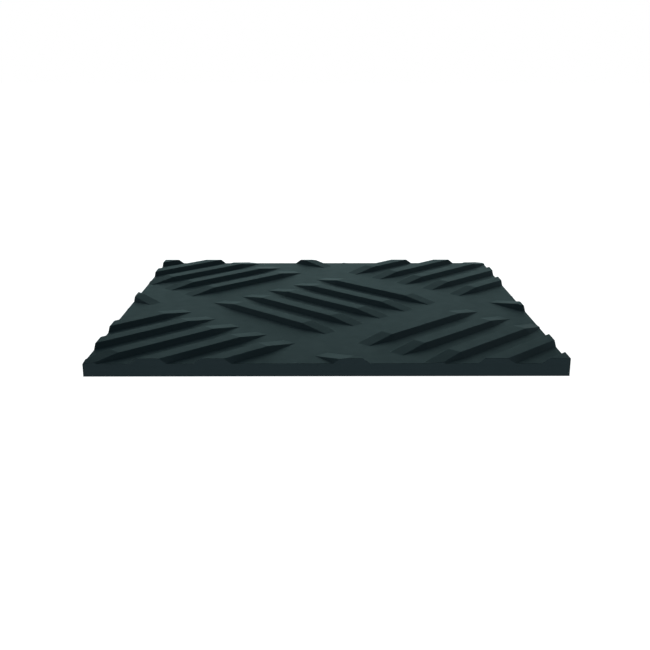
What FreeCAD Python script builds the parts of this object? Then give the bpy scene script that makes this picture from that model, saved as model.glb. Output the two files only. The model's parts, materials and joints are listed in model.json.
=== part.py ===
import FreeCAD, Part
import Sketcher
import math
import os
import re

# Seedling heat mat: a square rubber mat with a five-bar chequer tread on top and a sealed
# cable heater inside. Millimetres. Origin at the centre of the underside, +Z up, -Y to the
# front, and the cord entry in the back edge (+Y).

Vector = FreeCAD.Vector
Rotation = FreeCAD.Rotation
ALONG_X = Rotation(Vector(0, 1, 0), 90)
ALONG_Y = Rotation(Vector(1, 0, 0), -90)

# Driving dimensions: alias, value, meaning.
DIMENSIONS = (
    # rubber envelope
    ("side", 508, "length of each side of the square"),
    ("slab", 14, "thickness under the tread bars"),
    ("base_web", 2, "thickness of the bottom sheet"),
    ("tread_web", 2.6, "thickness of the top sheet between its bars"),
    ("strip_width", 16, "width of the edge strips"),
    # tread bars
    ("bar_height", 5.6, "height of a bar above the sheet, and run of its 45 degree flanks"),
    ("bar_length", 206, "length of a bar at its foot"),
    ("bar_flat_length", 127, "length of its flat top"),
    ("bar_flat_width", 17, "width of its flat top, and of its blunt ends"),
    ("bar_spacing", 47.7, "distance between neighbouring bars of a group"),
    ("group_pitch", 363.2, "distance between groups that point the same way"),
    # heater layers
    ("layer_gap", 0.2, "fitting gap round the inner layers"),
    ("spreader_thick", 0.5, "aluminium heat spreader"),
    ("film_thick", 0.3, "insulation film"),
    ("carrier_thick", 5, "grooved cable carrier"),
    # heating cable
    ("cable_radius", 1.6, "outside radius of the heating cable"),
    ("wire_radius", 0.6, "radius of its resistance wire"),
    ("cable_axis", 8.7, "height of the cable's axis above the underside"),
    ("cable_reach", 222, "distance of the outer runs from the centre"),
    ("cable_entry", 207, "y of the run that enters the junction case"),
    ("cable_pitch", 33, "distance between runs"),
    ("cable_stop", 28, "distance from the centre where the sheath ends"),
    ("wire_bare", 4, "length of bare wire beyond the sheath"),
    ("groove_width", 3.4, "width of the carrier's groove"),
    ("groove_floor", 7.1, "height of the groove's floor above the underside"),
    # junction case
    ("case_width", 64, "outside width of the junction case"),
    ("case_depth", 44, "outside depth"),
    ("case_wall", 1.6, "side wall thickness"),
    ("case_floor", 1.2, "floor thickness"),
    ("lid_thick", 1, "lid thickness"),
    ("post_inset", 3, "distance of the lid screws from the outside walls"),
    ("post_radius", 2.5, "radius of the corner posts"),
    ("screw_radius", 1, "radius of the screws' shanks"),
    ("screw_depth", 5, "depth of the lid screws below the lid"),
    ("head_radius", 1.9, "radius of the countersunk heads"),
    ("recess_size", 0.5, "width and depth of the screws' cross recesses"),
    # cord entry
    ("gland_axis", 6.8, "height of the cord's axis above the underside"),
    ("cord_bore", 2.45, "radius of the bore for the cord"),
    ("barrel_radius", 3.3, "radius of the gland's barrel"),
    ("barrel_length", 20.6, "length of the gland from the back face inwards"),
    ("flange_radius", 4.4, "radius of the gland's flange"),
    ("flange_thick", 2, "thickness of the flange"),
    ("seal_thick", 1, "thickness of the seal under the flange"),
    ("neck_radius", 2.85, "radius of the groove for the clip"),
    ("clip_thick", 1, "thickness of the clip"),
    ("clip_width", 10.2, "width of the clip"),
    ("clip_height", 6.8, "height of the clip"),
    ("clip_drop", 3.3, "distance of the clip's underside below the cord's axis"),
    ("slack", 0.05, "radial clearance of fitted pieces"),
    # cord clamp
    ("clamp_y", 224, "front face of the clamp"),
    ("clamp_depth", 6, "depth of the clamp along the cord"),
    ("clamp_width", 18, "width across the cord"),
    ("clamp_bottom", 7, "height of the clamp's underside"),
    ("clamp_top", 10.2, "height of its top"),
    ("clamp_screw_x", 6.5, "distance of its screws from the cord's axis"),
    ("saddle_recess", 1.3, "depth of the recesses for the screws' heads"),
    ("clamp_head", 1.1, "thickness of the screws' heads"),
    ("clamp_shank", 4.6, "length of the screws' shanks"),
    # terminal block
    ("block_x", 1, "left face of the terminal block"),
    ("block_y", 211, "front face"),
    ("block_width", 18, "width over both poles"),
    ("block_depth", 9, "depth along the wires"),
    ("block_top", 9.4, "height of its top above the underside"),
    ("pole_axis", 6, "height of the wire sleeves' axis above the underside"),
    ("sleeve_radius", 2.2, "outside radius of a wire sleeve"),
    ("sleeve_bore", 1.3, "bore radius of a wire sleeve"),
    ("sleeve_inset", 0.5, "distance of the wire sleeves' ends from the block's faces"),
    ("clamp_thread", 1.2, "radius of the terminal screws"),
    # leads and splice
    ("lead_radius", 0.9, "outside radius of the internal leads"),
    ("lead_bend", 2, "bend radius of the leads' axes"),
    ("lead_gap", 0.5, "clearance where a lead begins, and before it enters the block"),
    ("lead_grip", 3, "length of a lead inside its wire sleeve"),
    ("splice_length", 6, "length of the crimp on the heating wire"),
    ("splice_x", 21, "left end of the crimp"),
    ("cover_overlap", 0.4, "length of the splice's cover beyond each end of the crimp"),
    # thermal cut-out
    ("cutout_x", -22, "left face of the cut-out's case"),
    ("cutout_length", 20, "length of the cut-out's case"),
    ("cutout_width", 7, "width of the case"),
    ("cutout_top", 9.4, "height of the case's rim above the underside"),
    ("cutout_wall", 0.8, "wall thickness of the case"),
    ("cover_thick", 0.6, "thickness of the case's cover"),
    ("strip_level", 7.7, "height of the contact strips' underside"),
    ("strip_thick", 0.4, "thickness of the contact strips"),
    ("tongue_width", 3.5, "width of the contact strips"),
    ("tab_length", 2.5, "length of a contact strip outside the case"),
    ("root_reach", 3.5, "length of the root strip inside the case"),
    ("seat_inset", 0.7, "distance of the blade's seat from the case's end wall"),
    ("seat_length", 2, "length of the blade's seat"),
    ("blade_width", 3, "width of the bimetal blade"),
    ("blade_thick", 0.35, "thickness of the bimetal blade"),
    ("blade_level", 6.65, "height of the blade's underside"),
    ("contact_x", -9, "position of the contacts along the cut-out"),
    ("contact_radius", 0.9, "radius of the contacts"),
    ("contact_margin", 1.5, "length of strip and of blade beyond the contacts' axis"),
    ("contact_gap", 0.02, "gap between the closed contacts in the model"),
)

# Levels and limits that follow from the dimensions.
CORE_TOP = "slab - tread_web"
CASE_RIM = "slab - tread_web - lid_thick"
STRIP_INNER = "side/2 - strip_width"
CASE_FRONT = "side/2 - strip_width - case_depth"
FLOOR_TOP = "base_web + case_floor"
CARRIER_TOP = "slab - tread_web - spreader_thick - film_thick"
CABLE_ROWS = 13
GROUP_BARS = range(-2, 3)

doc = FreeCAD.newDocument("HeatMat")
sheet = doc.addObject("Spreadsheet::Sheet", "dim")
subparts = {}


def fill_sheet():
    """Write every driving dimension as a plain number with an alias and a note."""
    for row, (alias, number, meaning) in enumerate(DIMENSIONS, 1):
        sheet.set(f"A{row}", meaning)
        sheet.set(f"B{row}", str(number))
        sheet.setAlias(f"B{row}", alias)
    doc.recompute()


def bound(text):
    """Point each alias in an expression at the sheet."""
    return re.sub(r"[a-z][a-z_]+", lambda word: "dim." + word.group(), str(text))


def size(text):
    """Value of an expression of aliases."""
    return float(sheet.evalExpression(bound(text)))


def bind(obj, **properties):
    """Bind properties to expressions of aliases."""
    for name, text in properties.items():
        obj.setExpression(name, bound(text))
    return obj


def place(obj, x=0, y=0, z=0, turn=None):
    """Bind an object's position, after turning it if asked."""
    if turn:
        obj.Placement = FreeCAD.Placement(Vector(), turn)
    for axis, text in zip("xyz", (x, y, z)):
        obj.setExpression(f"Placement.Base.{axis}", bound(text))
    return obj


def box(name, length, width, height, x, y, z):
    obj = bind(doc.addObject("Part::Box", name), Length=length, Width=width, Height=height)
    return place(obj, x, y, z)


def cylinder(name, radius, height, x, y, z, turn=None):
    obj = bind(doc.addObject("Part::Cylinder", name), Radius=radius, Height=height)
    return place(obj, x, y, z, turn)


def fuse(name, *pieces):
    obj = doc.addObject("Part::MultiFuse", name)
    obj.Shapes = list(pieces)
    obj.Refine = True
    return obj


def cut(name, base, *tools):
    obj = doc.addObject("Part::Cut", name)
    obj.Base = base
    obj.Tool = tools[0] if len(tools) == 1 else fuse(name + "_tools", *tools)
    return obj


def group(name, master, spots):
    """One node of separate solids: the master repeated at each spot."""
    links = []
    for index, spot in enumerate(spots):
        link = doc.addObject("App::Link", f"{name}_{index}")
        link.LinkedObject = master
        links.append(place(link, *spot))
    obj = doc.addObject("Part::Compound", name)
    obj.Links = links
    return keep(name, obj)


def keep(name, obj):
    """Name a finished sub-part, so that it is checked and written."""
    obj.Label = name
    subparts[name] = obj
    return obj


def closed_sketch(body, role, corners):
    """Fully bound polygon on one of the body's own origin planes."""
    plane = next(item for item in body.Origin.OriginFeatures if item.Role == role)
    sketch = body.newObject("Sketcher::SketchObject", body.Name + "_sketch")
    sketch.AttachmentSupport = [(plane, "")]
    sketch.MapMode = "FlatFace"
    points = [Vector(size(x), size(y), 0) for x, y in corners]
    count = len(points)
    for index in range(count):
        sketch.addGeometry(Part.LineSegment(points[index], points[(index + 1) % count]), False)
    for index in range(count):
        sketch.addConstraint(Sketcher.Constraint("Coincident", index, 2, (index + 1) % count, 1))
    for index, corner in enumerate(corners):
        for kind, text in zip(("DistanceX", "DistanceY"), corner):
            rule = sketch.addConstraint(Sketcher.Constraint(kind, -1, 1, index, 1, size(text)))
            sketch.setExpression(f"Constraints[{rule}]", bound(text))
    return sketch


def plate(name, corners, bottom, thickness):
    """Flat sheet: a padded outline at its own level."""
    body = doc.addObject("PartDesign::Body", name)
    pad = body.newObject("PartDesign::Pad", name + "_pad")
    pad.Profile = closed_sketch(body, "XY_Plane", corners)
    bind(pad, Length=thickness)
    return place(body, z=bottom)


def rounded_path(points, radius):
    """Wire of straight runs joined by tangent arcs of one radius."""
    edges = []
    start = points[0]
    for before, corner, after in zip(points, points[1:], points[2:]):
        inward = (before - corner).normalize()
        onward = (after - corner).normalize()
        half_turn = (math.pi - inward.getAngle(onward)) / 2
        reach = radius * math.tan(half_turn)
        arc_start = corner + inward * reach
        arc_end = corner + onward * reach
        bisector = (inward + onward).normalize()
        arc_middle = corner + bisector * (radius / math.cos(half_turn) - radius)
        if (arc_start - start).Length > 1e-6:
            edges.append(Part.LineSegment(start, arc_start).toShape())
        edges.append(Part.Arc(arc_start, arc_middle, arc_end).toShape())
        start = arc_end
    edges.append(Part.LineSegment(start, points[-1]).toShape())
    return Part.Wire(edges)


def path(name, points, radius):
    obj = doc.addObject("Part::Feature", name)
    obj.Shape = rounded_path(points, radius)
    return obj


def tube(name, route, radius, turn):
    """Round bar swept along a route, its section square to the route's first run."""
    section = bind(doc.addObject("Part::Circle", name + "_section"), Radius=radius)
    section.Placement = FreeCAD.Placement(route.Shape.OrderedVertexes[0].Point, turn)
    sweep = doc.addObject("Part::Sweep", name)
    sweep.Sections = [section]
    sweep.Spine = (route, [])
    sweep.Solid = True
    sweep.Frenet = True
    return sweep


def tread_bar():
    """Bar with a flat top, 45 degree flanks, long end ramps and clipped corners."""
    top = size("bar_height")
    flat_x, flat_y = size("bar_flat_length/2"), size("bar_flat_width/2")
    foot_x, foot_y = size("bar_length/2"), flat_y + top
    faces = [
        [(flat_x, flat_y, top), (-flat_x, flat_y, top), (-flat_x, -flat_y, top), (flat_x, -flat_y, top)],
        [(foot_x, flat_y, 0), (flat_x, foot_y, 0), (-flat_x, foot_y, 0), (-foot_x, flat_y, 0),
         (-foot_x, -flat_y, 0), (-flat_x, -foot_y, 0), (flat_x, -foot_y, 0), (foot_x, -flat_y, 0)],
    ]
    for side in (1, -1):
        faces.append([(flat_x, side * foot_y, 0), (-flat_x, side * foot_y, 0),
                      (-flat_x, side * flat_y, top), (flat_x, side * flat_y, top)])
        faces.append([(side * foot_x, flat_y, 0), (side * foot_x, -flat_y, 0),
                      (side * flat_x, -flat_y, top), (side * flat_x, flat_y, top)])
        for end in (1, -1):
            faces.append([(end * foot_x, side * flat_y, 0), (end * flat_x, side * foot_y, 0),
                          (end * flat_x, side * flat_y, top)])
    polygons = [Part.Face(Part.makePolygon([Vector(*corner) for corner in face + face[:1]]))
                for face in faces]
    solid = Part.Solid(Part.Shell(polygons))
    if solid.Volume < 0:
        solid.reverse()
    return solid


def tread_groups():
    """Centre and turn of each group: one way on a square grid, the other way between."""
    pitch = size("group_pitch")
    groups = [(column * pitch, row * pitch, -45) for column in (-1, 0, 1) for row in (-1, 0, 1)]
    return groups + [(column * pitch / 2, row * pitch / 2, 45) for column in (-1, 1) for row in (-1, 1)]


def tread_sheet():
    """Top sheet with its bars, cut off flush at all four edges."""
    spacing = size("bar_spacing")
    outline = Part.makeBox(size("side"), size("side"), size("slab"),
                           Vector(-size("side/2"), -size("side/2"), size("slab/2")))
    bars = []
    for x, y, degrees in tread_groups():
        turn = Rotation(Vector(0, 0, 1), degrees)
        for step in GROUP_BARS:
            bar = tread_bar()
            centre = Vector(x, y, size("slab")) + turn.multVec(Vector(0, step * spacing, 0))
            bar.Placement = FreeCAD.Placement(centre, turn)
            if bar.common(outline.translated(Vector(0, 0, 1))).Volume > 1:
                bars.append(bar)
    bar_set = doc.addObject("Part::Feature", "tread_bars")
    bar_set.Shape = Part.makeCompound(bars)
    web = box("tread_web_block", "side", "side", "tread_web", "-side/2", "-side/2", CORE_TOP)
    outline_block = box("tread_outline", "side", "side", "slab", "-side/2", "-side/2", "slab/2")
    trimmed = doc.addObject("Part::Common", "tread_sheet")
    trimmed.Base = fuse("tread_untrimmed", web, bar_set)
    trimmed.Tool = outline_block
    trimmed.Refine = True
    keep("tread_sheet", trimmed)


def base_and_strips():
    """Bottom sheet and the four mitred strips that close the edges."""
    far, near = "side/2", STRIP_INNER
    square = [(f"-({far})", f"-({far})"), (far, f"-({far})"), (far, far), (f"-({far})", far)]
    keep("base_sheet", plate("base_sheet", square, 0, "base_web"))
    inner = [(f"-({near})", f"-({near})"), (near, f"-({near})"), (near, near), (f"-({near})", near)]
    for index, edge in enumerate(("front", "right", "back", "left")):
        following = (index + 1) % 4
        corners = [square[index], square[following], inner[following], inner[index]]
        name = "edge_strip_" + edge
        blank_name = "strip_blank" if edge == "back" else name
        strip = plate(blank_name, corners, "base_web", "slab - tread_web - base_web")
        if edge == "back":
            passage = cylinder("gland_passage", "barrel_radius + slack", "strip_width * 2",
                               0, near, "gland_axis", ALONG_Y)
            seat = cylinder("gland_seat", "flange_radius + slack", "strip_width",
                            0, "side/2 - flange_thick - seal_thick", "gland_axis", ALONG_Y)
            strip = cut(name, strip, passage, seat)
        keep(name, strip)


def notched_outline():
    """Outline of an inner layer: a square with a notch for the junction case."""
    edge = STRIP_INNER + " - layer_gap"
    notch_x = "case_width/2 + layer_gap"
    notch_y = CASE_FRONT + " - layer_gap"
    return [(f"-({edge})", f"-({edge})"), (edge, f"-({edge})"), (edge, edge), (notch_x, edge),
            (notch_x, notch_y), (f"-({notch_x})", notch_y), (f"-({notch_x})", edge), (f"-({edge})", edge)]


def cable_points(end):
    """Corners of the cable's route: rows across the mat, then a lane back to the case."""
    entry, pitch, reach = size("cable_entry"), size("cable_pitch"), size("cable_reach")
    level = size("cable_axis")
    points = [Vector(-end, entry, level), Vector(-reach, entry, level)]
    for row in range(1, CABLE_ROWS + 1):
        y = entry - row * pitch
        near_left = Vector(-reach, y, level)
        near_lane = Vector(reach if row == CABLE_ROWS else reach - pitch, y, level)
        points += [near_left, near_lane] if row % 2 else [near_lane, near_left]
    return points + [Vector(reach, entry, level), Vector(end, entry, level)]


def heater_layers():
    """Foam, grooved carrier with its cable, insulation film and heat spreader."""
    outline = notched_outline()
    foam_top = CARRIER_TOP + " - carrier_thick"
    keep("insulation_foam", plate("insulation_foam", outline, "base_web", foam_top + " - base_web"))
    keep("insulation_film", plate("insulation_film", outline, CARRIER_TOP, "film_thick"))
    keep("heat_spreader", plate("heat_spreader", outline, CORE_TOP + " - spreader_thick", "spreader_thick"))

    bend = size("cable_pitch/2")
    wire_route = path("wire_route", cable_points(size("cable_stop - wire_bare")), bend)
    sheath_route = path("sheath_route", cable_points(size("cable_stop")), bend)
    first_run = Rotation(Vector(0, 1, 0), -90)
    keep("heating_wire", tube("heating_wire", wire_route, "wire_radius", first_run))
    sheath_outside = tube("sheath_outside", sheath_route, "cable_radius", first_run)
    sheath_bore = tube("sheath_bore", sheath_route, "wire_radius", first_run)
    keep("heating_cable_sheath", cut("heating_cable_sheath", sheath_outside, sheath_bore))

    channel = doc.addObject("Part::Feature", "groove")
    channel.Shape = groove_shape(cable_points(size("case_width/2")), bend)
    blank = plate("carrier_blank", outline, foam_top, "carrier_thick")
    keep("cable_carrier", cut("cable_carrier", blank, channel))
    length = sheath_route.Shape.Length
    print(f"heating cable: {length:.0f} mm of sheath, bends of {bend:.1f} mm radius")
    section = math.pi * size("cable_radius * cable_radius - wire_radius * wire_radius")
    return section * length


def groove_shape(points, bend):
    """Square channel along the cable's route, open at the carrier's top."""
    half, floor = size("groove_width/2"), size("groove_floor")
    depth = size("slab") - floor
    level = Vector(0, 0, floor - size("cable_axis"))
    pieces = []
    for edge in rounded_path(points, bend).Edges:
        start = edge.valueAt(edge.FirstParameter) + level
        heading = edge.tangentAt(edge.FirstParameter)
        across = Vector(-heading.y, heading.x, 0) * half
        if edge.Curve.TypeId == "Part::GeomLine":
            along = edge.valueAt(edge.LastParameter) + level - start
            corners = [start - across, start + across, start + across + along, start - across + along]
            face = Part.Face(Part.makePolygon(corners + corners[:1]))
            pieces.append(face.extrude(Vector(0, 0, depth)))
        else:
            pieces.append(ring_sector(edge, level, half, depth))
    return pieces[0].multiFuse(pieces[1:]).removeSplitter()


def ring_sector(edge, level, half, depth):
    """Curved stretch of the channel, round the centre of the route's arc."""
    centre = edge.Curve.Center + level
    radius = edge.Curve.Radius
    ends = [edge.valueAt(at) + level - centre for at in (edge.FirstParameter, edge.LastParameter)]
    middle = edge.valueAt((edge.FirstParameter + edge.LastParameter) / 2) + level - centre
    outer, inner = (radius + half) / radius, (radius - half) / radius
    outer_arc = Part.Arc(centre + ends[0] * outer, centre + middle * outer, centre + ends[1] * outer)
    inner_arc = Part.Arc(centre + ends[1] * inner, centre + middle * inner, centre + ends[0] * inner)
    sides = [Part.LineSegment(centre + ends[1] * outer, centre + ends[1] * inner),
             Part.LineSegment(centre + ends[0] * inner, centre + ends[0] * outer)]
    outline = Part.Wire([outer_arc.toShape(), sides[0].toShape(), inner_arc.toShape(), sides[1].toShape()])
    return Part.Face(outline).extrude(Vector(0, 0, depth))


def post_spots():
    """Corner positions of the lid screws."""
    x = "case_width/2 - post_inset"
    near = CASE_FRONT + " + post_inset"
    far = STRIP_INNER + " - post_inset"
    return [(f"-({x})", near), (x, near), (f"-({x})", far), (x, far)]


def junction_case():
    """Flat box under the tread sheet where the cord meets the heater."""
    inner_width = "case_width - 2*case_wall"
    rim_height = f"{CASE_RIM} - base_web"
    inner_height = f"{CASE_RIM} - ({FLOOR_TOP})"
    block = box("case_block", "case_width", "case_depth", rim_height,
                "-case_width/2", CASE_FRONT, "base_web")
    cavity = box("case_cavity", inner_width, "case_depth - 2*case_wall", "slab",
                 "case_wall - case_width/2", f"{CASE_FRONT} + case_wall", FLOOR_TOP)
    solids = [cut("case_shell", block, cavity)]
    holes = []
    for index, (x, y) in enumerate(post_spots()):
        solids.append(cylinder(f"lid_post_{index}", "post_radius", inner_height, x, y, FLOOR_TOP))
        holes.append(cylinder(f"lid_pilot_{index}", "screw_radius + slack", "slab", x, y,
                              f"{CASE_RIM} - screw_depth - slack"))
    for side, sign in (("left", "-"), ("right", "")):
        x = f"{sign}clamp_screw_x"
        y = "clamp_y + clamp_depth/2"
        solids.append(cylinder(f"clamp_post_{side}", "head_radius", f"clamp_bottom - ({FLOOR_TOP})",
                               x, y, FLOOR_TOP))
        holes.append(cylinder(f"clamp_pilot_{side}", "screw_radius + slack", "slab", x, y,
                              "clamp_top - saddle_recess - clamp_shank - 6*slack"))
        holes.append(box(f"cable_notch_{side}", "case_width/2 - cable_stop", "groove_width", "slab",
                         f"{sign}(case_width/4 + cable_stop/2) - (case_width/2 - cable_stop)/2",
                         "cable_entry - groove_width/2", "cable_axis - cable_radius - slack"))
    cradle = box("cord_cradle", "2*clamp_screw_x", "clamp_depth", f"gland_axis - ({FLOOR_TOP})",
                 "-clamp_screw_x", "clamp_y", FLOOR_TOP)
    holes.append(cylinder("cord_channel", "cord_bore", "case_depth",
                          0, "clamp_y - clamp_depth", "gland_axis", ALONG_Y))
    holes.append(cylinder("case_gland_hole", "barrel_radius + slack", "case_wall*4",
                          0, f"{STRIP_INNER} - case_wall*2", "gland_axis", ALONG_Y))
    keep("junction_case", cut("junction_case", fuse("case_solid", *solids, cradle), *holes))


def case_lid():
    """Lid with four countersunk holes, and its four screws."""
    plate_box = box("lid_plate", "case_width", "case_depth", "lid_thick",
                    "-case_width/2", CASE_FRONT, CASE_RIM)
    sinks = []
    for index, (x, y) in enumerate(post_spots()):
        sink = bind(doc.addObject("Part::Cone", f"lid_sink_{index}"), Radius1="screw_radius + slack",
                    Radius2="head_radius + slack", Height="lid_thick")
        sinks.append(place(sink, x, y, CASE_RIM))
    keep("junction_lid", cut("junction_lid", plate_box, *sinks))

    head = bind(doc.addObject("Part::Cone", "lid_screw_head"), Radius1="screw_radius",
                Radius2="head_radius", Height="lid_thick")
    shank = cylinder("lid_screw_shank", "screw_radius", "screw_depth", 0, 0, "-screw_depth")
    screw = crossed("lid_screw", fuse("lid_screw_blank", head, shank), "head_radius", "lid_thick")
    group("junction_lid_screws", screw, [(x, y, CASE_RIM) for x, y in post_spots()])


def crossed(name, blank, radius, top):
    """Cross recess in a screw's head, six tenths as long as the head is wide."""
    length, narrow = f"({radius})*2*6/10", "recess_size"
    slots = []
    for kind, long_x, long_y in (("a", length, narrow), ("b", narrow, length)):
        slots.append(box(f"{name}_slot_{kind}", long_x, long_y, "recess_size",
                         f"-({long_x})/2", f"-({long_y})/2", f"{top} - recess_size"))
    return cut(name, blank, *slots)


def cord_gland():
    """Bush with a flange outside and a groove inside, its seal and its U-shaped clip."""
    face = "side/2"
    shoulder = "side/2 - flange_thick"
    wall_face = f"{STRIP_INNER} - case_wall - slack"
    groove_end = f"{wall_face} - clip_thick - 2*slack"
    tip = "side/2 - barrel_length"
    profile = [("cord_bore", face), ("flange_radius", face), ("flange_radius", shoulder),
               ("barrel_radius", shoulder), ("barrel_radius", wall_face), ("neck_radius", wall_face),
               ("neck_radius", groove_end), ("barrel_radius", groove_end), ("barrel_radius", tip),
               ("cord_bore", tip)]
    bush = doc.addObject("PartDesign::Body", "gland_bush")
    turned = bush.newObject("PartDesign::Revolution", "gland_bush_turned")
    turned.Profile = closed_sketch(bush, "XY_Plane", profile)
    turned.ReferenceAxis = (turned.Profile[0], ["V_Axis"])
    turned.Angle = 360
    keep("gland_bush", place(bush, z="gland_axis"))

    seal_y = "side/2 - flange_thick - seal_thick"
    ring = cylinder("seal_ring", "flange_radius", "seal_thick", 0, seal_y, "gland_axis", ALONG_Y)
    ring_bore = cylinder("seal_bore", "barrel_radius + slack", "seal_thick*3",
                         0, f"{seal_y} - seal_thick", "gland_axis", ALONG_Y)
    keep("gland_seal", cut("gland_seal", ring, ring_bore))

    clip_y = f"{wall_face} - clip_thick - slack"
    clip = box("clip_plate", "clip_width", "clip_thick", "clip_height",
               "-clip_width/2", clip_y, "gland_axis - clip_drop")
    throat = cylinder("clip_throat", "neck_radius + slack", "clip_thick*3",
                      0, f"{clip_y} - clip_thick", "gland_axis", ALONG_Y)
    mouth = box("clip_mouth", "2*neck_radius + 2*slack", "clip_thick*3", "neck_radius*2",
                "-neck_radius - slack", f"{clip_y} - clip_thick", "gland_axis - neck_radius*2")
    keep("gland_clip", cut("gland_clip", clip, throat, mouth))


def cord_clamp():
    """Saddle that presses the cord into its cradle, with two screws."""
    middle = "clamp_y + clamp_depth/2"
    saddle = box("saddle_block", "clamp_width", "clamp_depth", "clamp_top - clamp_bottom",
                 "-clamp_width/2", "clamp_y", "clamp_bottom")
    seat = "clamp_top - saddle_recess"
    holes = [cylinder("saddle_channel", "cord_bore", "clamp_depth*3", 0, "clamp_y - clamp_depth",
                      "gland_axis", ALONG_Y)]
    for side, x in (("left", "-clamp_screw_x"), ("right", "clamp_screw_x")):
        holes.append(cylinder(f"saddle_hole_{side}", "screw_radius + 2*slack", "slab",
                              x, middle, "base_web"))
        holes.append(cylinder(f"saddle_seat_{side}", "head_radius", "slab", x, middle, seat))
    keep("cord_clamp", cut("cord_clamp", saddle, *holes))

    head = cylinder("clamp_screw_head", "head_radius - 2*slack", "clamp_head", 0, 0, 0)
    shank = cylinder("clamp_screw_shank", "screw_radius", "clamp_shank", 0, 0, "-clamp_shank")
    screw = crossed("clamp_screw", fuse("clamp_screw_blank", head, shank), "head_radius", "clamp_head")
    spots = [(x, middle, seat) for x in ("-clamp_screw_x", "clamp_screw_x")]
    group("cord_clamp_screws", screw, spots)


def pole_xs():
    """Middles of the two poles of the terminal block."""
    return ["block_x + block_width/4", "block_x + block_width*3/4"]


def terminal_block():
    """Two-pole block: moulded body, brass wire sleeves and clamping screws."""
    body = box("block_body", "block_width", "block_depth", f"block_top - ({FLOOR_TOP})",
               "block_x", "block_y", FLOOR_TOP)
    holes = []
    for index, x in enumerate(pole_xs()):
        holes.append(cylinder(f"pole_bore_{index}", "sleeve_radius + slack", "block_depth*2",
                              x, "block_y - block_depth/2", "pole_axis", ALONG_Y))
        for at in (1, 3):
            holes.append(cylinder(f"pole_well_{index}_{at}", "clamp_thread + 2*slack", "slab",
                                  x, f"block_y + block_depth*{at}/4", "pole_axis"))
    keep("terminal_block", cut("terminal_block", body, *holes))

    sleeve = cylinder("sleeve_outside", "sleeve_radius", "block_depth - 2*sleeve_inset",
                      0, "sleeve_inset", 0, ALONG_Y)
    bore = cylinder("sleeve_inside", "sleeve_bore", "block_depth*2", 0, "-block_depth/2", 0, ALONG_Y)
    wells = [cylinder(f"sleeve_well_{at}", "clamp_thread + slack", "sleeve_radius*2",
                      0, f"block_depth*{at}/4", 0) for at in (1, 3)]
    group("terminal_sleeves", cut("sleeve", sleeve, bore, *wells),
          [(x, "block_y", "pole_axis") for x in pole_xs()])

    screw_length = "block_top - pole_axis - sleeve_bore"
    blank = cylinder("terminal_screw_blank", "clamp_thread", screw_length, 0, 0, 0)
    screw = crossed("terminal_screw", blank, "clamp_thread", screw_length)
    spots = [(x, f"block_y + block_depth*{at}/4", "pole_axis + sleeve_bore - 2*slack")
             for x in pole_xs() for at in (1, 3)]
    group("terminal_screws", screw, spots)


def leads_and_splice():
    """Live lead from the cut-out, neutral lead to the heating wire, and its crimp."""
    row, pole, bend = size("cable_entry"), size("pole_axis"), size("lead_bend")
    turn_y, end_y = size("block_y - lead_gap"), size("block_y + lead_grip")
    live_x, neutral_x = (size(x) for x in pole_xs())
    strip_top = size("strip_level + strip_thick + lead_radius")
    live = [Vector(size("cutout_x + cutout_length + lead_gap"), row, strip_top),
            Vector(live_x, row, strip_top), Vector(live_x, turn_y, pole), Vector(live_x, end_y, pole)]
    wire = size("cable_axis")
    neutral = [Vector(size("splice_x + splice_length/2 - lead_gap"), row, wire),
               Vector(neutral_x, row, wire), Vector(neutral_x, turn_y, pole),
               Vector(neutral_x, end_y, pole)]
    keep("live_lead", tube("live_lead", path("live_route", live, bend), "lead_radius", ALONG_X))
    keep("neutral_lead", tube("neutral_lead", path("neutral_route", neutral, bend), "lead_radius",
                              Rotation(Vector(0, 1, 0), -90)))
    for name, outside, inside, start, length in (
            ("splice_sleeve", "lead_radius + 6*slack", "lead_radius + slack", "splice_x", "splice_length"),
            ("splice_cover", "lead_radius + 12*slack", "lead_radius + 7*slack", "splice_x - cover_overlap",
             "splice_length + 2*cover_overlap")):
        outer = cylinder(name + "_outside", outside, length, start, "cable_entry", "cable_axis", ALONG_X)
        inner = cylinder(name + "_inside", inside, "splice_length*3", "splice_x - splice_length",
                         "cable_entry", "cable_axis", ALONG_X)
        keep(name, cut(name, outer, inner))


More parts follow.
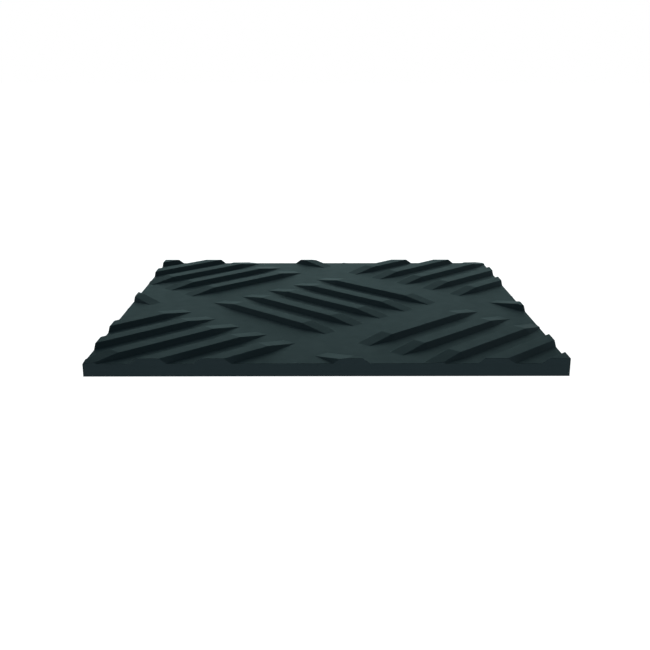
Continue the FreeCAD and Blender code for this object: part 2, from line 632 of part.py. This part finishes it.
def thermal_cutout():
    """Cut-out: case and cover, two contact strips, and the bimetal blade between them."""
    row = "cable_entry"
    left, right = "cutout_x", "cutout_x + cutout_length"
    front = f"{row} - cutout_width/2"
    block = box("cutout_block", "cutout_length", "cutout_width", f"cutout_top - ({FLOOR_TOP})",
                left, front, FLOOR_TOP)
    cavity = box("cutout_cavity", "cutout_length - 2*cutout_wall", "cutout_width - 2*cutout_wall", "slab",
                 f"{left} + cutout_wall", f"{front} + cutout_wall", f"{FLOOR_TOP} + cutout_wall")
    window = box("cutout_windows", "cutout_length*2", "tongue_width + 2*slack", "strip_thick + 2*slack",
                 f"{left} - cutout_length/2", f"{row} - tongue_width/2 - slack", "strip_level - slack")
    keep("cutout_case", cut("cutout_case", block, cavity, window))
    keep("cutout_cover", box("cutout_cover", "cutout_length", "cutout_width", "cover_thick",
                             left, front, "cutout_top"))

    tongue_y = f"{row} - tongue_width/2"
    seat_x = f"{left} + cutout_wall + seat_inset"
    root = box("root_tongue", "tab_length + cutout_wall + root_reach", "tongue_width", "strip_thick",
               f"{left} - tab_length", tongue_y, "strip_level")
    seat = box("root_seat", "seat_length", "blade_width", "strip_level - blade_level",
               seat_x, f"{row} - blade_width/2", "blade_level")
    keep("cutout_root_strip", fuse("cutout_root_strip", root, seat))

    fixed_x = "contact_x - contact_margin"
    fixed = box("fixed_tongue", f"{right} + tab_length - ({fixed_x})", "tongue_width", "strip_thick",
                fixed_x, tongue_y, "strip_level")
    meeting = "(blade_level + blade_thick + strip_level)/2"
    upper = cylinder("fixed_contact", "contact_radius", f"strip_level - {meeting}",
                     "contact_x", row, meeting)
    keep("cutout_fixed_strip", fuse("cutout_fixed_strip", fixed, upper))

    blade_x = f"{seat_x} + seat_length + slack"
    strip = box("blade_strip", f"contact_x + contact_margin - ({blade_x})", "blade_width", "blade_thick",
                blade_x, f"{row} - blade_width/2", "blade_level")
    lower = cylinder("blade_contact", "contact_radius",
                     f"{meeting} - contact_gap - blade_level - blade_thick",
                     "contact_x", row, "blade_level + blade_thick")
    keep("cutout_blade", fuse("cutout_blade", strip, lower))


def check(expected_sheath):
    """Stop if any object failed, or a sub-part is missing, open or the wrong volume."""
    doc.recompute()
    for obj in doc.Objects:
        if "Invalid" in obj.State or "Error" in obj.State:
            raise RuntimeError(f"{obj.Name} failed: {obj.State}")
    for name, obj in subparts.items():
        shape = obj.Shape
        if shape.isNull() or not shape.isValid() or not shape.Solids:
            raise RuntimeError(f"{name} has no valid solid")
        box_size = shape.BoundBox
        print(f"{name}: {len(shape.Solids)} solid(s), {shape.Volume / 1000:.3f} cm3, "
              f"z {box_size.ZMin:.2f} to {box_size.ZMax:.2f}")
    sheath = subparts["heating_cable_sheath"].Shape.Volume
    if abs(sheath / expected_sheath - 1) > 0.01:
        raise RuntimeError("the heating cable's sheath isn't its section times its length")


def write():
    os.makedirs("parts", exist_ok=True)
    for name, obj in subparts.items():
        obj.Shape.exportStep(f"parts/{name}.step")


fill_sheet()
base_and_strips()
tread_sheet()
sheath_volume = heater_layers()
junction_case()
case_lid()
cord_gland()
cord_clamp()
terminal_block()
leads_and_splice()
thermal_cutout()
check(sheath_volume)
write()
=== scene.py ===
import json
import math

import bmesh
import bpy
import numpy as np
from mathutils import Matrix, Vector

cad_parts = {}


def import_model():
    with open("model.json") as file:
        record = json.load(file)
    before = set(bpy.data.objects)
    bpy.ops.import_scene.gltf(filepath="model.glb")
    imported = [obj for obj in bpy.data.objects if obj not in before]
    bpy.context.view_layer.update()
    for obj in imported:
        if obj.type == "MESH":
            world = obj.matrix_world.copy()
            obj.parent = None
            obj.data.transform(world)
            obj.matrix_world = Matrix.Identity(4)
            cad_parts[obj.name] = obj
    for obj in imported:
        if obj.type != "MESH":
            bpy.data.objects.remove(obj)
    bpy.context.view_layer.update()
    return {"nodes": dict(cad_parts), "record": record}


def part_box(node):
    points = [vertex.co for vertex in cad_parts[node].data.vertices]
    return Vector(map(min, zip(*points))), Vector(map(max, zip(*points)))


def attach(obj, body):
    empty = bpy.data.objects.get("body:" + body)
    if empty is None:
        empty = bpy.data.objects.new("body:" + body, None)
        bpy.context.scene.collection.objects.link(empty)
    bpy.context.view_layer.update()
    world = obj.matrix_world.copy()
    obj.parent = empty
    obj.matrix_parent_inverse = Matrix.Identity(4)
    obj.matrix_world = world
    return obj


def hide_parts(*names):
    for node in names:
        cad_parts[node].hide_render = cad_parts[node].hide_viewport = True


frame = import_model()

# Looks for the seedling heat mat. Metres, in the CAD frame: origin at the centre of the
# underside, +Z up, -Y to the front.

MAIN_BODY = "mat"
MM = 0.001

# Tread, as the CAD sheet has it. FOOT and FLAT are half a bar's length (X) and half its width (Y)
# at its foot and along its flat crest.
TREAD_LOW, TREAD_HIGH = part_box("tread_sheet")
HALF_SIDE = TREAD_HIGH.x
BAR_HEIGHT = 5.6 * MM
WEB_LEVEL = TREAD_HIGH.z - BAR_HEIGHT
FOOT_X = 206 / 2 * MM
FLAT_X = 127 / 2 * MM
FLAT_Y = 17 / 2 * MM
FOOT_Y = FLAT_Y + BAR_HEIGHT
BAR_SPACING = 47.7 * MM
CELL = 363.2 / math.sqrt(2) * MM
BARS_EACH_SIDE = 2

# Softness of the moulded edges, the cut rim and the strips' corners
CREST_ROUND = 0.35 * MM
FOOT_ROUND = 0.25 * MM
RAMP_ROUND = 0.05 * MM
RIM_WIDTH = 0.45 * MM
RIM_DROP = 0.28 * MM
STRIP_EDGE_ROUND = 0.10 * MM
SHARP_ANGLE = 40
SPLIT_GAP = 0.01 * MM

# Grid of the tread mesh: lines stand at these shares of a crease's radius, to both sides of it
EDGE_SHARES = (-1.1, -0.4, 0.4, 1.1)
CREST_ZONE = EDGE_SHARES[-1] * CREST_ROUND
FOOT_ZONE = EDGE_SHARES[-1] * FOOT_ROUND
RAMP_ZONE = 0.5 * MM
NARROWEST_FOOT = 1.2 * MM
RECOVERY = 24 * MM
WIDEST_GAP = 6.5 * MM
NARROWEST_GAP = 0.12 * MM
CUTTING_MARGIN = 14 * MM
RIM_INSETS = (0.0, 0.33 * RIM_WIDTH, RIM_WIDTH)
CUT_TOLERANCE = 1e-7
SLIVER = 0.02 * MM
LARGE_FACES_LEAD = 100


# ---------------------------------------------------------------- tread mesh

def soft_positive(value, radius):
    """max(value, 0) with its corner rounded over +-radius."""
    blend = (value + radius) ** 2 / (4 * radius)
    return np.where(value >= radius, value, np.where(value <= -radius, 0.0, blend))


def cell_coordinates(u, v):
    """Position along and across the bars of the chequer cell that holds each point."""
    column, row = np.rint(u / CELL), np.rint(v / CELL)
    local_u, local_v = u - column * CELL, v - row * CELL
    upright = (column + row) % 2 != 0
    return upright, np.where(upright, local_v, local_u), np.where(upright, local_u, local_v)


def bar_offset(across):
    """The middle of the nearest bar, measured across a group."""
    nearest = np.clip(np.rint(across / BAR_SPACING), -BARS_EACH_SIDE, BARS_EACH_SIDE)
    return nearest * BAR_SPACING


def ridge(along):
    """Height of a bar's crest line: flat, then a long ramp down to the web."""
    ramp = (FOOT_X - np.abs(along)) * BAR_HEIGHT / (FOOT_X - FLAT_X)
    return BAR_HEIGHT - soft_positive(BAR_HEIGHT - ramp, RAMP_ROUND)


def tread_height(u, v):
    """Height above the web: crest line less the 45 degree flanks, never under the web."""
    _, along, across = cell_coordinates(u, v)
    beside = np.abs(across - bar_offset(across))
    return soft_positive(ridge(along) - soft_positive(beside - FLAT_Y, CREST_ROUND), FOOT_ROUND)


def crease_marks():
    """Where one direction's grid lines stand beside the creases of three cells in a row."""
    creases = [(side * end, RAMP_ZONE) for side in (-1, 1) for end in (FLAT_X, FOOT_X)]
    for bar in range(-BARS_EACH_SIDE, BARS_EACH_SIDE + 1):
        for side in (-1, 1):
            creases += [(bar * BAR_SPACING + side * FLAT_Y, CREST_ROUND),
                        (bar * BAR_SPACING + side * FOOT_Y, FOOT_ROUND)]
    return sorted(cell * CELL + crease + share * radius for cell in (-1, 0, 1)
                  for crease, radius in creases for share in EDGE_SHARES)


def grid_lines():
    """Grid lines in one direction: close at creases, wider between them."""
    reach = HALF_SIDE * math.sqrt(2) + MM
    lines = [-reach]
    for mark in [mark for mark in crease_marks() if abs(mark) < reach] + [reach]:
        gap = mark - lines[-1]
        if gap > NARROWEST_GAP:
            steps = max(1, round(gap / WIDEST_GAP))
            lines += [lines[-1] + gap * (step + 1) / steps for step in range(steps)]
    return np.array(lines)


def follow_feet(u, v):
    """Draw the grid lines in along the tapering foot of each ramp, so that creases follow it."""
    upright, along, across = cell_coordinates(u, v)
    middle = bar_offset(across)
    deepest = BAR_HEIGHT - NARROWEST_FOOT
    last_followed = FLAT_X + (FOOT_X - FLAT_X) * deepest / BAR_HEIGHT
    pull = np.interp(np.abs(along), (FLAT_X, last_followed, FOOT_X, FOOT_X + RECOVERY),
                     (0, -deepest, -deepest, 0))
    share = np.interp(np.abs(across - middle),
                      (FLAT_Y + CREST_ZONE, FOOT_Y - FOOT_ZONE, FOOT_Y + FOOT_ZONE, BAR_SPACING / 2),
                      (0, 1, 1, 0))
    shift = np.sign(across - middle) * pull * share
    return u + np.where(upright, shift, 0), v + np.where(upright, 0, shift)


def rim_drop(x, y):
    """How far the cut edge is eased, by distance from the nearest side."""
    inside = HALF_SIDE - np.maximum(np.abs(x), np.abs(y))
    return RIM_DROP * np.clip(1 - inside / RIM_WIDTH, 0, 1) ** 2


def uncut_grid():
    """Open mesh of the bars and web from the height formula, a little larger than the outline."""
    lines = grid_lines()
    u, v = follow_feet(*np.meshgrid(lines, lines, indexing="ij"))
    x, y = (u + v) / math.sqrt(2), (v - u) / math.sqrt(2)
    z = WEB_LEVEL + tread_height(u, v)
    near = np.maximum(np.abs(x), np.abs(y)) < HALF_SIDE + CUTTING_MARGIN
    used = near[:-1, :-1] & near[1:, :-1] & near[1:, 1:] & near[:-1, 1:]
    index = np.arange(x.size).reshape(x.shape)
    corners = (index[:-1, :-1], index[1:, :-1], index[1:, 1:], index[:-1, 1:])
    kept, faces = np.unique(np.stack(corners, axis=-1)[used], return_inverse=True)
    points = np.stack([x.ravel(), y.ravel(), z.ravel()], axis=1)[kept]
    mesh = bpy.data.meshes.new("tread_top")
    mesh.from_pydata(points.tolist(), [], faces.reshape(-1, 4).tolist())
    return mesh


def cut_to_outline(sheet):
    """Cut the sheet to the square, and cut in two more lines along each side for the eased rim."""
    for inset in RIM_INSETS:
        for normal in (Vector((1, 0, 0)), Vector((-1, 0, 0)), Vector((0, 1, 0)), Vector((0, -1, 0))):
            bmesh.ops.bisect_plane(sheet, geom=sheet.verts[:] + sheet.edges[:] + sheet.faces[:],
                                   dist=CUT_TOLERANCE, plane_co=normal * (HALF_SIDE - inset),
                                   plane_no=normal, clear_outer=inset == 0.0)
    bmesh.ops.remove_doubles(sheet, verts=sheet.verts[:], dist=SLIVER)


def close_wall(sheet, rim, corners, axis, sign):
    """One flat side wall, from the rim on that side down to two bottom corners."""
    along = 1 - axis
    on_side = sorted((vert for vert in rim if abs(vert.co[axis] - sign * HALF_SIDE) <= SLIVER),
                     key=lambda vert: vert.co[along])
    ends = [corners[(sign, end) if axis == 0 else (end, sign)] for end in (1, -1)]
    wall = sheet.faces.new(on_side + ends)
    wall.normal_update()
    if wall.normal[axis] * sign < 0:
        wall.normal_flip()
    wall.smooth = False


def close_below(sheet):
    """Four flat side walls down from the rim, and one flat face underneath."""
    corners = {(side_x, side_y): sheet.verts.new((side_x * HALF_SIDE, side_y * HALF_SIDE, TREAD_LOW.z))
               for side_x in (-1, 1) for side_y in (-1, 1)}
    rim = {vert for edge in sheet.edges if len(edge.link_faces) == 1 for vert in edge.verts}
    for axis, sign in ((0, 1), (0, -1), (1, 1), (1, -1)):
        close_wall(sheet, rim, corners, axis, sign)
    bottom = sheet.faces.new([corners[-1, -1], corners[-1, 1], corners[1, 1], corners[1, -1]])
    bottom.normal_update()
    if bottom.normal.z > 0:
        bottom.normal_flip()
    bottom.smooth = False
    for edge in sheet.edges:
        if any(not face.smooth for face in edge.link_faces):
            edge.smooth = False


def tread_mesh():
    """Closed mesh of the top sheet: moulded bars and web, flush cut sides, flat bottom."""
    mesh = uncut_grid()
    sheet = bmesh.new()
    sheet.from_mesh(mesh)
    cut_to_outline(sheet)
    for face in sheet.faces:
        if face.normal.z < 0:
            face.normal_flip()
        face.smooth = True
    for vert in sheet.verts:
        vert.co.z -= float(rim_drop(vert.co.x, vert.co.y))
    close_below(sheet)
    sheet.to_mesh(mesh)
    sheet.free()
    return mesh


def tread_piece():
    """The moulded top sheet, which stands for the plain CAD one."""
    piece = bpy.data.objects.new("tread_top", tread_mesh())
    bpy.context.scene.collection.objects.link(piece)
    even = piece.modifiers.new("even_normals", "WEIGHTED_NORMAL")
    even.keep_sharp = True
    even.weight = LARGE_FACES_LEAD
    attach(piece, MAIN_BODY)
    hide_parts("tread_sheet")
    return piece


# ---------------------------------------------------------------- materials

MIDDLE_OF_NOISE = (0.3, 0.7)
ALL = (0.0, 1.0)


class Shader:
    """A principled material whose inputs are fed by small node chains in object space."""

    def __init__(self, name):
        self.material = bpy.data.materials.new(name)
        self.material.use_nodes = True
        self.tree = self.material.node_tree
        self.surface = self.tree.nodes["Principled BSDF"]
        self.space = self.tree.nodes.new("ShaderNodeTexCoord").outputs["Object"]

    def link(self, source, target):
        self.tree.links.new(source, target)

    def noise(self, scale, detail=4.0, rough=0.55, stretch=(1, 1, 1)):
        """Noise of so many waves a metre, stretched per axis."""
        mapping = self.tree.nodes.new("ShaderNodeMapping")
        mapping.inputs["Scale"].default_value = tuple(scale * part for part in stretch)
        noise = self.tree.nodes.new("ShaderNodeTexNoise")
        noise.inputs["Scale"].default_value = 1.0
        noise.inputs["Detail"].default_value = detail
        noise.inputs["Roughness"].default_value = rough
        self.link(self.space, mapping.inputs["Vector"])
        self.link(mapping.outputs["Vector"], noise.inputs["Vector"])
        return noise.outputs["Fac"]

    def remap(self, value, given, wanted):
        """Shift the given range of a value to the wanted one, and hold it there."""
        remap = self.tree.nodes.new("ShaderNodeMapRange")
        for name, number in zip(("From Min", "From Max", "To Min", "To Max"), given + wanted):
            remap.inputs[name].default_value = number
        self.link(value, remap.inputs["Value"])
        return remap.outputs["Result"]

    def mix(self, factor, first, second):
        """Colour between two, each a colour or a socket."""
        mix = self.tree.nodes.new("ShaderNodeMix")
        mix.data_type = "RGBA"
        self.link(factor, mix.inputs[0])
        for socket, value in ((mix.inputs[6], first), (mix.inputs[7], second)):
            self.give(socket, value)
        return mix.outputs[2]

    def bump(self, height, strength, distance, under=None):
        bump = self.tree.nodes.new("ShaderNodeBump")
        bump.inputs["Strength"].default_value = strength
        bump.inputs["Distance"].default_value = distance
        self.link(height, bump.inputs["Height"])
        if under is not None:
            self.link(under, bump.inputs["Normal"])
        return bump.outputs["Normal"]

    def give(self, socket, value):
        """Set a socket to a number or a colour, or link another socket to it."""
        if isinstance(value, (int, float)):
            socket.default_value = value
        elif isinstance(value, tuple):
            socket.default_value = (*value, 1.0)
        else:
            self.link(value, socket)

    def feed(self, name, value):
        self.give(self.surface.inputs[name], value)


RUBBER_DARK = (0.0184, 0.0302, 0.0344)
RUBBER_LIGHT = (0.0194, 0.0318, 0.0362)
RUBBER_SPECK = tuple(2.0 * part for part in RUBBER_LIGHT)
RUBBER_SPECULAR = 0.03
RUBBER_ROUGHNESS = (0.48, 0.52)


def rubber(name, grain, streak=None):
    """Vulcanised rubber: very dark, slightly uneven in tone and gloss, with a fine moulded grain.

    A cut edge also has long shallow streaks from the knife.
    """
    shader = Shader(name)
    tone = shader.remap(shader.noise(22, detail=5, rough=0.6), MIDDLE_OF_NOISE, ALL)
    speck = shader.remap(shader.noise(2600, detail=2), (0.68, 0.80), (0.0, 0.30))
    base = shader.mix(tone, RUBBER_DARK, RUBBER_LIGHT)
    shader.feed("Base Color", shader.mix(speck, base, RUBBER_SPECK))
    gloss = shader.noise(60, detail=5)
    shader.feed("Roughness", shader.remap(gloss, MIDDLE_OF_NOISE, RUBBER_ROUGHNESS))
    shader.feed("Specular IOR Level", RUBBER_SPECULAR)
    normal = shader.bump(shader.noise(grain, detail=3), strength=0.15, distance=0.04 * MM)
    if streak:
        cuts = shader.noise(1, detail=4, rough=0.7, stretch=streak)
        normal = shader.bump(cuts, strength=0.30, distance=0.05 * MM, under=normal)
    shader.feed("Normal", normal)
    return shader.material


def simple(name, colour, roughness, metallic=0.0, grain=900, depth=0.03, stretch=(1, 1, 1)):
    """Moulded, rolled or drawn surface: small shifts of tone and gloss over a fine relief.

    Grain is in waves a metre, depth in millimetres.
    """
    shader = Shader(name)
    darker = tuple(0.82 * part for part in colour)
    lighter = tuple(1.12 * part for part in colour)
    tone = shader.remap(shader.noise(70, detail=4), MIDDLE_OF_NOISE, ALL)
    shader.feed("Base Color", shader.mix(tone, darker, lighter))
    gloss = (0.85 * roughness, min(1.0, 1.2 * roughness))
    shader.feed("Roughness", shader.remap(shader.noise(240, stretch=stretch), MIDDLE_OF_NOISE, gloss))
    shader.feed("Metallic", metallic)
    relief = shader.noise(grain, detail=3, stretch=stretch)
    shader.feed("Normal", shader.bump(relief, strength=0.4, distance=depth * MM))
    return shader.material


def metal(name, colour, roughness, stretch=(1, 1, 1)):
    return simple(name, colour, roughness, metallic=1.0, stretch=stretch)


SLOT_MATERIALS = {
    "tread_rubber": rubber("tread_rubber", grain=1400),
    "edge_rubber": rubber("edge_rubber", grain=1100, streak=(25, 25, 1500)),
    "base_rubber": rubber("base_rubber", grain=900),
    "foam": simple("foam", (0.11, 0.11, 0.115), 0.9, grain=1600, depth=0.25),
    "carrier_rubber": simple("carrier_rubber", (0.028, 0.030, 0.032), 0.7, grain=700, depth=0.06),
    "silicone": simple("silicone", (0.42, 0.07, 0.04), 0.42, grain=300, depth=0.02),
    "resistance_wire": metal("resistance_wire", (0.50, 0.47, 0.43), 0.35, stretch=(0.1, 1, 1)),
    "film": simple("film", (0.52, 0.27, 0.05), 0.18, grain=120, depth=0.05),
    "aluminium_sheet": metal("aluminium_sheet", (0.78, 0.79, 0.80), 0.30, stretch=(0.03, 1, 1)),
    "case_plastic": simple("case_plastic", (0.09, 0.09, 0.10), 0.5, grain=2200),
    "gland_plastic": simple("gland_plastic", (0.018, 0.019, 0.020), 0.42, grain=2200, depth=0.02),
    "seal_rubber": simple("seal_rubber", (0.012, 0.012, 0.013), 0.7),
    "spring_steel": metal("spring_steel", (0.56, 0.56, 0.57), 0.28, stretch=(0.05, 1, 1)),
    "screw_steel": metal("screw_steel", (0.62, 0.62, 0.61), 0.34),
    "block_plastic": simple("block_plastic", (0.72, 0.69, 0.60), 0.38, grain=1500, depth=0.02),
    "brass": metal("brass", (0.76, 0.56, 0.24), 0.30, stretch=(1, 0.1, 1)),
    "live_insulation": simple("live_insulation", (0.20, 0.08, 0.04), 0.4),
    "neutral_insulation": simple("neutral_insulation", (0.03, 0.11, 0.40), 0.4),
    "crimp_copper": metal("crimp_copper", (0.74, 0.72, 0.69), 0.36),
    "shrink_sleeve": simple("shrink_sleeve", (0.025, 0.025, 0.026), 0.55),
    "cutout_plastic": simple("cutout_plastic", (0.045, 0.045, 0.046), 0.5),
}


def dress(obj, slot):
    obj.data.materials.clear()
    obj.data.materials.append(SLOT_MATERIALS[slot])


def ease_edges(obj, width):
    """Cut corners slightly rounded: join the CAD mesh's split points, then bevel its sharp edges."""
    join = obj.modifiers.new("join", "WELD")
    join.merge_threshold = SPLIT_GAP
    bevel = obj.modifiers.new("ease", "BEVEL")
    bevel.width = width
    bevel.segments = 2
    bevel.limit_method = "ANGLE"
    bevel.angle_limit = math.radians(SHARP_ANGLE)
    bevel.harden_normals = True


def dress_cad_nodes():
    """Every CAD node's finish, and softer edges on the strips that have no hole in them."""
    for entry in frame["record"]["subparts"]:
        dress(frame["nodes"][entry["node"]], entry["material_slot"])
    for name in ("edge_strip_front", "edge_strip_left", "edge_strip_right"):
        ease_edges(frame["nodes"][name], STRIP_EDGE_ROUND)


# ---------------------------------------------------------------- stage

WHITE = (1.0, 1.0, 1.0)
AMBIENT = 0.03
FLOOR_REACH = 40.0
FLOOR_DROP = 0.2 * MM
FLOOR_GREY = (0.45, 0.45, 0.45)

SIDE_TINT = (0.79, 0.92, 1.0)
SHEEN_TINT = (0.665, 1.0, 0.995)
LIGHT_DISTANCE = 3.0
# Name, azimuth from the back towards the right, elevation, (width, height) in degrees, radiance,
# tint. The back ones give the web its sheen, and the weak front ones leave the near flanks in shade.
SOFTBOXES = (
    ("left_softbox", -90, 37.5, (36.4, 45), 1.25, SIDE_TINT),
    ("right_softbox", 90, 37.5, (36.4, 45), 1.07, SIDE_TINT),
    ("back_softbox", 0, 17.5, (43, 35), 1.43, SHEEN_TINT),
    ("back_left_softbox", -45, 20, (40, 35), 0.60, SHEEN_TINT),
    ("back_right_softbox", 45, 20, (40, 35), 0.57, SHEEN_TINT),
    ("front_softbox", 180, 25, (60, 45), 0.12, SHEEN_TINT),
    ("front_left_softbox", -135, 20, (40, 35), 0.25, SHEEN_TINT),
    ("front_right_softbox", 135, 20, (40, 35), 0.25, SHEEN_TINT),
)

# Camera: its place in sides of the mat from the middle of the underside, and its angles in degrees
SENSOR_WIDTH = 36.0
LENS = 48.15
CAMERA_PLACE = Vector((-0.01310, -2.19000, 0.59220))
CAMERA_DOWN = 15.933
CAMERA_TURN = 0.320
CAMERA_ROLL = -0.022
CAMERA_CLIP = (0.01, 100)


def softbox(name, azimuth, elevation, spread, radiance, tint):
    """One softbox, aimed at the mat and hidden from the camera."""
    turn, lift = math.radians(azimuth), math.radians(elevation)
    away = Vector((math.sin(turn) * math.cos(lift), math.cos(turn) * math.cos(lift), math.sin(lift)))
    light = bpy.data.lights.new(name, "AREA")
    light.shape = "RECTANGLE"
    light.size, light.size_y = (2 * LIGHT_DISTANCE * math.tan(math.radians(angle) / 2)
                                for angle in spread)
    light.energy = radiance * math.pi * light.size * light.size_y
    light.color = tint
    lamp = bpy.data.objects.new(name, light)
    lamp.location = away * LIGHT_DISTANCE
    lamp.rotation_euler = away.to_track_quat("Z", "Y").to_euler()
    lamp.visible_camera = False
    bpy.context.scene.collection.objects.link(lamp)


def background(tree, strength):
    """A white background shader of the given strength."""
    node = tree.nodes.new("ShaderNodeBackground")
    node.inputs["Color"].default_value = (*WHITE, 1)
    node.inputs["Strength"].default_value = strength
    return node.outputs["Background"]


def world():
    """Pale surroundings: full white where the camera sees them, dimmer as a source of light."""
    made = bpy.data.worlds.new("studio")
    bpy.context.scene.world = made
    made.use_nodes = True
    tree = made.node_tree
    path = tree.nodes.new("ShaderNodeLightPath")
    mix = tree.nodes.new("ShaderNodeMixShader")
    tree.links.new(path.outputs["Is Camera Ray"], mix.inputs["Fac"])
    tree.links.new(background(tree, AMBIENT), mix.inputs[1])
    tree.links.new(background(tree, 1.0), mix.inputs[2])
    tree.links.new(mix.outputs[0], tree.nodes["World Output"].inputs["Surface"])


def floor():
    """Large white floor, as bright as the surroundings, so that no horizon shows."""
    mesh = bpy.data.meshes.new("floor")
    corners = [(side_x * FLOOR_REACH, side_y * FLOOR_REACH, 0)
               for side_x, side_y in ((-1, -1), (1, -1), (1, 1), (-1, 1))]
    mesh.from_pydata(corners, [], [(0, 1, 2, 3)])
    piece = bpy.data.objects.new("floor", mesh)
    piece.location.z = -FLOOR_DROP
    bpy.context.scene.collection.objects.link(piece)
    shader = Shader("floor_paper")
    shader.feed("Base Color", FLOOR_GREY)
    shader.feed("Roughness", 0.9)
    shader.feed("Specular IOR Level", 0.0)
    shader.feed("Emission Color", WHITE)
    shader.feed("Emission Strength", 1.0)
    mesh.materials.append(shader.material)


def camera():
    """View from the front and a little above, with a small turn and roll."""
    data = bpy.data.cameras.new("camera")
    data.sensor_width = SENSOR_WIDTH
    data.lens = LENS
    data.clip_start, data.clip_end = CAMERA_CLIP
    view = bpy.data.objects.new("camera", data)
    view.location = CAMERA_PLACE * 2 * HALF_SIDE
    down, turn, roll = (math.radians(angle) for angle in (CAMERA_DOWN, CAMERA_TURN, CAMERA_ROLL))
    view.rotation_euler = (Matrix.Rotation(-turn, 3, "Z") @ Matrix.Rotation(math.pi / 2 - down, 3, "X")
                           @ Matrix.Rotation(-roll, 3, "Z")).to_euler()
    bpy.context.scene.collection.objects.link(view)
    bpy.context.scene.camera = view


def colour_management():
    settings = bpy.context.scene.view_settings
    settings.view_transform = "Standard"
    settings.look = "None"
    settings.exposure = 0.0
    settings.gamma = 1.0


dress_cad_nodes()
dress(tread_piece(), "tread_rubber")
world()
floor()
for softbox_row in SOFTBOXES:
    softbox(*softbox_row)
camera()
colour_management()
